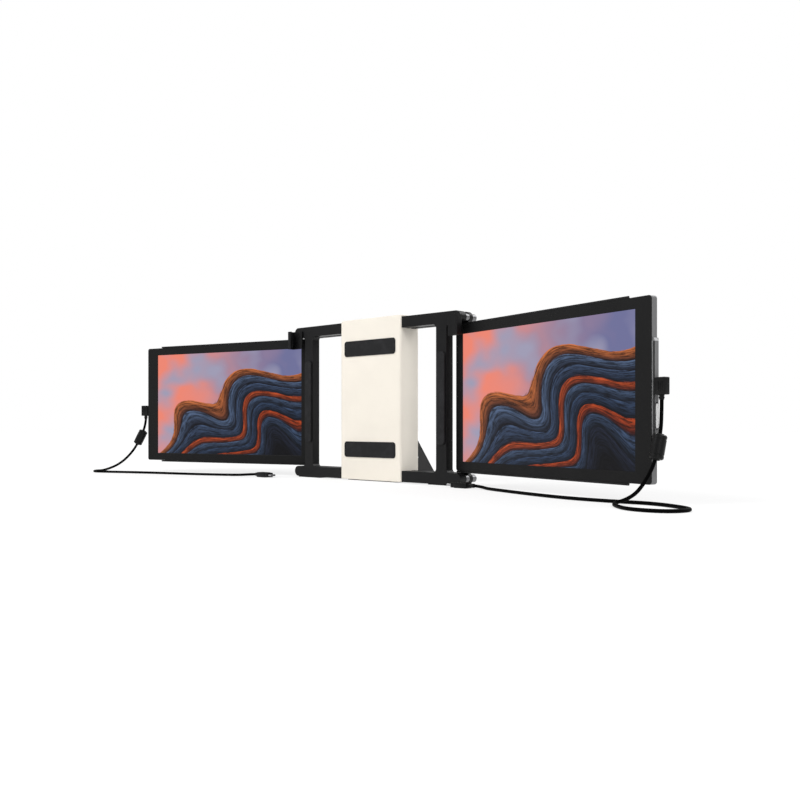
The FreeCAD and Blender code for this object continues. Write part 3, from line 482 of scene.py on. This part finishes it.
class Shader:
    """A material's node tree with short calls for its nodes and links."""

    def __init__(self, name):
        self.material = bpy.data.materials.new(name)
        self.material.use_nodes = True
        self.tree = self.material.node_tree
        self.surface = self.tree.nodes["Principled BSDF"]

    def add(self, kind, **values):
        node = self.tree.nodes.new(kind)
        for key, value in values.items():
            setattr(node, key, value)
        return node

    def link(self, source, target):
        self.tree.links.new(source, target)

    def math(self, operation, a, b=None, c=None):
        node = self.add("ShaderNodeMath", operation=operation)
        for socket, value in zip(node.inputs, (a, b, c)):
            self.feed(socket, value)
        return node.outputs[0]

    def feed(self, socket, value):
        """Link another node's value in, or set a plain number or colour."""
        if value is None:
            return
        if isinstance(value, bpy.types.NodeSocket):
            self.link(value, socket)
        else:
            socket.default_value = value

    def give(self, name, value):
        """Feed one of the surface's own inputs."""
        self.feed(self.surface.inputs[name], value)

    def coordinates(self):
        return self.add("ShaderNodeTexCoord").outputs["Object"]

    def plane(self, x, y):
        """A flat vector from two values."""
        node = self.add("ShaderNodeCombineXYZ")
        self.feed(node.inputs["X"], x)
        self.feed(node.inputs["Y"], y)
        return node.outputs[0]

    def noise(self, vector, scale, detail=3.0, roughness=0.55):
        node = self.add("ShaderNodeTexNoise")
        self.feed(node.inputs["Vector"], vector)
        node.inputs["Scale"].default_value = scale
        node.inputs["Detail"].default_value = detail
        node.inputs["Roughness"].default_value = roughness
        return node.outputs["Fac"]

    def span(self, value, low, high, to_low=0.0, to_high=1.0):
        """Carry a value from one range to another, held at the ends."""
        node = self.add("ShaderNodeMapRange")
        self.feed(node.inputs["Value"], value)
        for name, number in (("From Min", low), ("From Max", high), ("To Min", to_low), ("To Max", to_high)):
            self.feed(node.inputs[name], number)
        return node.outputs["Result"]

    def blend(self, amount, a, b):
        """Mix two colours: the first at zero, the second at one."""
        node = self.add("ShaderNodeMix", data_type="RGBA")
        self.feed(node.inputs[0], amount)
        self.feed(node.inputs[6], a)
        self.feed(node.inputs[7], b)
        return node.outputs[2]

    def bump(self, height, strength, distance):
        """Fine relief over edges that catch the light as if they were rounded."""
        node = self.add("ShaderNodeBump")
        edge = self.add("ShaderNodeBevel", samples=4)
        edge.inputs["Radius"].default_value = SOFT_EDGE
        self.link(edge.outputs["Normal"], node.inputs["Normal"])
        self.feed(node.inputs["Height"], height)
        node.inputs["Strength"].default_value = strength
        node.inputs["Distance"].default_value = distance
        self.give("Normal", node.outputs["Normal"])


def rgba(colour, factor=1.0):
    return (*[channel * factor for channel in colour], 1.0)


def moulded(name, colour, rough, grain=2600.0, specular=0.5, wear=0.25):
    """Moulded plastic: fine grain, faint patches in colour and gloss."""
    look = Shader(name)
    where = look.coordinates()
    patches = look.span(look.noise(where, PATCH_SCALE, 4.0), *PATCH_RANGE)
    look.give("Base Color", look.blend(patches, rgba(colour, 1 - wear / 3), rgba(colour, 1 + wear / 3)))
    gloss = look.noise(where, GLOSS_SCALE, 5.0)
    look.give("Roughness", look.span(gloss, *NOISE_RANGE, rough - 0.05, rough + 0.06))
    look.give("Specular IOR Level", specular)
    look.bump(look.noise(where, grain, 2.0), 0.35, GRAIN_DEPTH)
    return look.material


def brushed(name, colour, rough, along):
    """Brushed metal, its scratches drawn out along one axis."""
    look = Shader(name)
    stretch = look.add("ShaderNodeMapping")
    look.link(look.coordinates(), stretch.inputs["Vector"])
    scale = [SCRATCH_ACROSS] * 3
    scale[along] = SCRATCH_ALONG
    stretch.inputs["Scale"].default_value = scale
    lines = look.noise(stretch.outputs["Vector"], 1.0, 3.0)
    shade = look.span(lines, *NOISE_RANGE)
    look.give("Base Color", look.blend(shade, rgba(colour, 0.86), rgba(colour, 1.08)))
    look.give("Roughness", look.span(lines, *NOISE_RANGE, rough - 0.06, rough + 0.08))
    look.give("Metallic", 1.0)
    look.bump(lines, 0.25, SCRATCH_DEPTH)
    return look.material


def rubber(name, colour, rough):
    """Soft rubber: matt, with a fine pebbled skin."""
    look = Shader(name)
    where = look.coordinates()
    cells = look.add("ShaderNodeTexVoronoi")
    look.link(where, cells.inputs["Vector"])
    cells.inputs["Scale"].default_value = PEBBLE_SCALE
    dust = look.span(look.noise(where, DUST_SCALE, 5.0), *DUST_RANGE)
    look.give("Base Color", look.blend(dust, rgba(colour), rgba(colour, 1.8)))
    look.give("Roughness", rough)
    look.give("Specular IOR Level", 0.25)
    look.bump(cells.outputs["Distance"], 0.3, PEBBLE_DEPTH)
    return look.material


def circuit(name):
    """Solder mask in two greens, with lighter tracks between."""
    look = Shader(name)
    bricks = look.add("ShaderNodeTexBrick")
    look.link(look.coordinates(), bricks.inputs["Vector"])
    bricks.inputs["Scale"].default_value = TRACK_SCALE
    bricks.inputs["Color1"].default_value = rgba((0.010, 0.085, 0.035))
    bricks.inputs["Color2"].default_value = rgba((0.014, 0.110, 0.045))
    bricks.inputs["Mortar"].default_value = rgba((0.030, 0.170, 0.070))
    look.give("Base Color", bricks.outputs["Color"])
    look.give("Roughness", 0.35)
    return look.material


# The screens' picture: folded ribbons round a point below the right corner, drawn as distances from it
# with a colour at each. Two stops close together are a ribbon's edge, and the sky starts after the last.
RIBBONS = (
    (0.00, (0.002, 0.002, 0.003)), (0.340, (0.003, 0.003, 0.005)), (0.395, (0.022, 0.030, 0.060)),
    (0.397, (0.003, 0.004, 0.007)), (0.440, (0.075, 0.125, 0.24)),
    (0.442, (0.004, 0.004, 0.008)), (0.478, (0.80, 0.105, 0.018)),
    (0.480, (0.005, 0.007, 0.015)), (0.530, (0.060, 0.105, 0.21)),
    (0.532, (0.006, 0.008, 0.016)), (0.575, (0.105, 0.170, 0.31)),
    (0.577, (0.012, 0.008, 0.012)), (0.612, (0.88, 0.130, 0.025)),
    (0.614, (0.008, 0.011, 0.024)), (0.662, (0.080, 0.130, 0.25)),
    (0.664, (0.010, 0.010, 0.020)), (0.700, (0.14, 0.215, 0.38)),
    (0.702, (0.030, 0.014, 0.018)), (0.736, (0.93, 0.26, 0.070)),
)
RIBBON_CENTRE = (1.10, -0.62)
RIBBON_WIDEN = 1.25
RIBBON_SPREAD = 2.05
BEND_ROUND = 1.6
BEND_OUT = 0.9
BEND_SCALE = 1.5
BEND = 0.42
THREAD_ROUND = 5.0
THREAD_OUT = 60.0
THREAD_SCALE = 3.0
THREAD_RANGE = (0.34, 0.58)
THREAD_SHADE = (0.10, 0.90)
FRAY = 0.006
FRAY_RANGE = (0.2, 0.8)
SKY_EDGE = 0.737
SKY_EDGE_BLUR = 0.001
SKY_SCALE = 3.4
ROSE_DRIFT = 0.55
ROSE_RANGE = (0.42, 0.80)
BLUE_DRIFT = 0.6
BLUE_RANGE = (0.62, 1.15)
PALE_RANGE = (0.47, 0.70)
SKY_WARM = (0.84, 0.235, 0.165)
SKY_ROSE = (0.50, 0.27, 0.31)
SKY_BLUE = (0.155, 0.160, 0.315)
SKY_PALE = (0.34, 0.325, 0.45)
SCREEN_GLOW = 1.0


def ribbon_pattern(look, across, up):
    """Which ribbon a spot lies on, the threads along it, and the slow bend that folds them all."""
    centre_x, centre_y = RIBBON_CENTRE
    du = look.math("MULTIPLY", look.math("SUBTRACT", centre_x, across), RIBBON_WIDEN)
    dv = look.math("SUBTRACT", up, centre_y)
    squares = look.math("ADD", look.math("MULTIPLY", du, du), look.math("MULTIPLY", dv, dv))
    far = look.math("SQRT", squares)
    angle = look.math("ARCTAN2", dv, du)
    sway = look.plane(look.math("MULTIPLY", angle, BEND_ROUND), look.math("MULTIPLY", far, BEND_OUT))
    bend = look.span(look.noise(sway, BEND_SCALE, 0.0), 0.0, 1.0, -BEND, BEND)
    fold = look.math("DIVIDE", look.math("ADD", far, bend), RIBBON_SPREAD)
    silk = look.plane(look.math("MULTIPLY", angle, THREAD_ROUND), look.math("MULTIPLY", fold, THREAD_OUT))
    thread = look.noise(silk, THREAD_SCALE, 6.0, 0.7)
    fold = look.math("ADD", fold, look.span(thread, *FRAY_RANGE, -FRAY, FRAY))
    return fold, thread, sway


def ribbon_colours(look, fold, thread):
    """Each ribbon's colour, darkened along its threads."""
    ramp = look.add("ShaderNodeValToRGB")
    look.feed(ramp.inputs["Fac"], fold)
    stops = ramp.color_ramp.elements
    stops[0].color = rgba(RIBBONS[0][1])
    stops[1].color = rgba(RIBBONS[-1][1])
    for position, colour in RIBBONS[1:]:
        stops.new(position).color = rgba(colour)
    shade = look.span(thread, *THREAD_RANGE, *THREAD_SHADE)
    return look.blend(shade, ramp.outputs["Color"], rgba((0, 0, 0)))


def sky_colours(look, sway, across):
    """Soft patches that go from warm on the left to blue on the right."""
    drift = look.noise(sway, SKY_SCALE, 2.0, 0.4)
    rosy = look.span(look.math("MULTIPLY_ADD", drift, ROSE_DRIFT, across), *ROSE_RANGE)
    blue = look.span(look.math("MULTIPLY_ADD", drift, BLUE_DRIFT, across), *BLUE_RANGE)
    sky = look.blend(rosy, rgba(SKY_WARM), rgba(SKY_ROSE))
    sky = look.blend(blue, sky, rgba(SKY_BLUE))
    return look.blend(look.span(drift, *PALE_RANGE), sky, rgba(SKY_PALE))


def picture(name, box_low, box_high):
    """A lit display with an abstract picture of folded ribbons, behind a matt front."""
    look = Shader(name)
    spot = look.add("ShaderNodeSeparateXYZ")
    look.link(look.coordinates(), spot.inputs[0])
    across = look.span(spot.outputs["X"], box_low.x + SCREEN_EDGE, box_high.x - SCREEN_EDGE)
    up = look.span(spot.outputs["Z"], box_low.z + SCREEN_EDGE, box_high.z - SCREEN_EDGE)
    fold, thread, sway = ribbon_pattern(look, across, up)
    over = look.span(fold, SKY_EDGE - SKY_EDGE_BLUR, SKY_EDGE + SKY_EDGE_BLUR)
    colour = look.blend(over, ribbon_colours(look, fold, thread), sky_colours(look, sway, across))
    look.give("Base Color", rgba((0.003, 0.003, 0.004)))
    look.give("Roughness", 0.32)
    look.give("Specular IOR Level", 0.12)
    look.give("Emission Strength", SCREEN_GLOW)
    look.give("Emission Color", colour)
    return look.material


CREAM = moulded("cream_shell", (0.80, 0.75, 0.665), 0.42, wear=0.06)
BLACK = moulded("black_arm", (0.0040, 0.0040, 0.0045), 0.40, specular=0.20)
BEZEL = moulded("bezel_black", (0.0050, 0.0050, 0.0052), 0.50, grain=3200.0, specular=0.16)
TRAY = moulded("tray_black", (0.0050, 0.0050, 0.0055), 0.42, specular=0.25)
GREY = moulded("grey_shell", (0.150, 0.150, 0.153), 0.42, specular=0.30, wear=0.10)
KEY = moulded("key_grey", (0.86, 0.86, 0.86), 0.30, wear=0.05)
# Light grey for the painted highlight lines on the control covers
HIGHLIGHT_PAINT = moulded("painted_highlight", (0.46, 0.46, 0.47), 0.25, wear=0.06)
GUIDE = moulded("guide_white", (0.70, 0.70, 0.68), 0.5)
PLUG = moulded("plug_black", (0.0026, 0.0026, 0.0028), 0.34, specular=0.19)
JACKET = moulded("lead_black", (0.0006, 0.0006, 0.0007), 0.50, grain=1800.0, specular=0.03)
SILVER = brushed("rail_silver", (0.22, 0.22, 0.225), 0.34, along=0)
STEEL = brushed("steel", (0.40, 0.40, 0.41), 0.28, along=2)
BRASS = brushed("bush_brass", (0.72, 0.50, 0.22), 0.30, along=2)
LEG = moulded("leg_black", (0.010, 0.010, 0.011), 0.36, specular=0.35)
RUBBER = rubber("rubber_black", (0.010, 0.010, 0.011), 0.80)
BOARD = circuit("board_green")
DIFFUSER = moulded("diffuser", (0.75, 0.75, 0.75), 0.6)

FINISHES = {
    "housing_front": CREAM, "housing_rear": CREAM, "housing_screws": STEEL, "chassis": STEEL,
    "rail_guides": GUIDE, "housing_pads": RUBBER, "housing_foot": RUBBER, "kickstand_leg": LEG,
    "kickstand_tip": RUBBER, "kickstand_pin": STEEL,
}
SIDE_FINISHES = {
    "arm_frame": BLACK, "slide_rails": SILVER, "arm_back": BLACK, "arm_caps": SILVER,
    "arm_screws": STEEL, "hinge_pins": STEEL, "lid_claw": BLACK, "grip_pads": RUBBER,
    "arm_foot": RUBBER, "tray": TRAY, "hinge_bushes": BRASS, "tray_screws": STEEL,
    "back_shell": GREY, "bezel": BEZEL, "backlight": DIFFUSER, "board": BOARD, "socket": STEEL,
    "control_cover": GREY, "menu_rocker": KEY, "power_button": KEY, "plug_tips": STEEL,
    "lead": JACKET, "lead_plugs": PLUG, "ferrite": PLUG,
}


def paint(node, material):
    solid = frame["nodes"][node]
    solid.data.materials.clear()
    solid.data.materials.append(material)


def paint_solids():
    for node, material in FINISHES.items():
        paint(node, material)
    for side in SIDES:
        for node, material in SIDE_FINISHES.items():
            paint(side + "_" + node, material)
        cell = side + "_display_cell"
        paint(cell, picture(side + "_picture", *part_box(cell)))


def lead_curve(side):
    """The lead as one smooth line of its real thickness."""
    data = bpy.data.curves.new(side + "_lead_cord", "CURVE")
    data.dimensions = "3D"
    u = COVER_FACE + PLUG_SEAT + PLUG_U / 2
    z = LEAD_PORT_Z[side] - PLUG_H / 2 - RELIEF_L
    leaving = seat_matrix(side) @ Vector((u, PORT_V, z))
    route = [tuple(leaving), *LEAD_ROUTES[side]]
    line = data.splines.new("NURBS")
    line.points.add(len(route) - 1)
    for point, spot in zip(line.points, route):
        point.co = (*spot, 1.0)
    line.order_u = 3
    line.use_endpoint_u = True
    line.resolution_u = 12
    data.bevel_depth = LEAD_R
    data.bevel_resolution = 5
    data.use_fill_caps = True
    data.materials.append(JACKET)
    cord = bpy.data.objects.new(side + "_lead_cord", data)
    bpy.context.collection.objects.link(cord)
    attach(cord, side + "_monitor")
    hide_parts(side + "_lead")
    lead_plugs(side)
    ferrite_sleeve(side)
    return cord


def floor_finish():
    """Pale and matt near the object, for its shadow, and white to the eye further out."""
    look = Shader("studio_floor")
    look.give("Base Color", rgba(FLOOR_COLOUR))
    look.give("Roughness", 0.9)
    look.give("Specular IOR Level", 0.0)
    white = look.add("ShaderNodeEmission")
    white.inputs["Strength"].default_value = FLOOR_GLOW
    path = look.add("ShaderNodeLightPath")
    mirrored = look.math("MAXIMUM", path.outputs["Is Glossy Ray"], path.outputs["Is Transmission Ray"])
    seen = look.math("MAXIMUM", path.outputs["Is Camera Ray"], mirrored)
    away = look.add("ShaderNodeVectorMath", operation="LENGTH")
    look.link(look.coordinates(), away.inputs[0])
    share = look.span(away.outputs["Value"], FLOOR_FADE_START, FLOOR_FADE_END, FLOOR_WHITE, 1.0)
    mix = look.add("ShaderNodeMixShader")
    look.feed(mix.inputs[0], look.math("MULTIPLY", seen, share))
    look.link(look.surface.outputs[0], mix.inputs[1])
    look.link(white.outputs[0], mix.inputs[2])
    look.link(mix.outputs[0], look.tree.nodes["Material Output"].inputs["Surface"])
    return look.material


def floor():
    deselect()
    bpy.ops.mesh.primitive_plane_add(size=FLOOR_SIZE, location=(0, 0, 0))
    plane = bpy.context.active_object
    plane.name = "studio_floor"
    plane.data.materials.append(floor_finish())


def background(tree, strength):
    node = tree.nodes.new("ShaderNodeBackground")
    node.inputs["Color"].default_value = rgba((1.0, 1.0, 1.0))
    node.inputs["Strength"].default_value = strength
    return node


def surround():
    """Plain soft light from all round, and white where it is seen."""
    world = bpy.data.worlds.new("studio_world")
    bpy.context.scene.world = world
    world.use_nodes = True
    tree = world.node_tree
    tree.nodes.clear()
    path = tree.nodes.new("ShaderNodeLightPath")
    seen = tree.nodes.new("ShaderNodeMath")
    seen.operation = "MAXIMUM"
    tree.links.new(path.outputs["Is Camera Ray"], seen.inputs[0])
    tree.links.new(path.outputs["Is Transmission Ray"], seen.inputs[1])
    mix = tree.nodes.new("ShaderNodeMixShader")
    tree.links.new(seen.outputs[0], mix.inputs[0])
    tree.links.new(background(tree, ROOM_LIGHT).outputs[0], mix.inputs[1])
    tree.links.new(background(tree, 1.0).outputs[0], mix.inputs[2])
    out = tree.nodes.new("ShaderNodeOutputWorld")
    tree.links.new(mix.outputs[0], out.inputs["Surface"])


def lamp(name, spot, size, power):
    data = bpy.data.lights.new(name, "AREA")
    data.shape = "DISK"
    data.size = size
    data.energy = power
    light = bpy.data.objects.new(name, data)
    light.location = spot
    light.rotation_euler = (Vector(LAMP_AIM) - Vector(spot)).to_track_quat("-Z", "Y").to_euler()
    bpy.context.collection.objects.link(light)


def camera():
    """Level, with the horizon moved off the middle by the lens shift."""
    data = bpy.data.cameras.new("camera")
    data.lens = LENS
    data.sensor_width = SENSOR_W
    data.shift_y = VIEW_SHIFT
    data.clip_start = 0.01
    eye = bpy.data.objects.new("camera", data)
    eye.location = EYE
    eye.rotation_euler = (math.radians(90), 0, VIEW_TURN)
    bpy.context.collection.objects.link(eye)
    bpy.context.scene.camera = eye


camera()
for side in SIDES:
    lead_curve(side)
    cover_painted_light(side)
all_screws()
paint_solids()
floor()
surround()
for name, setting in LAMPS.items():
    lamp(name, *setting)
bpy.context.scene.view_settings.view_transform = "Standard"
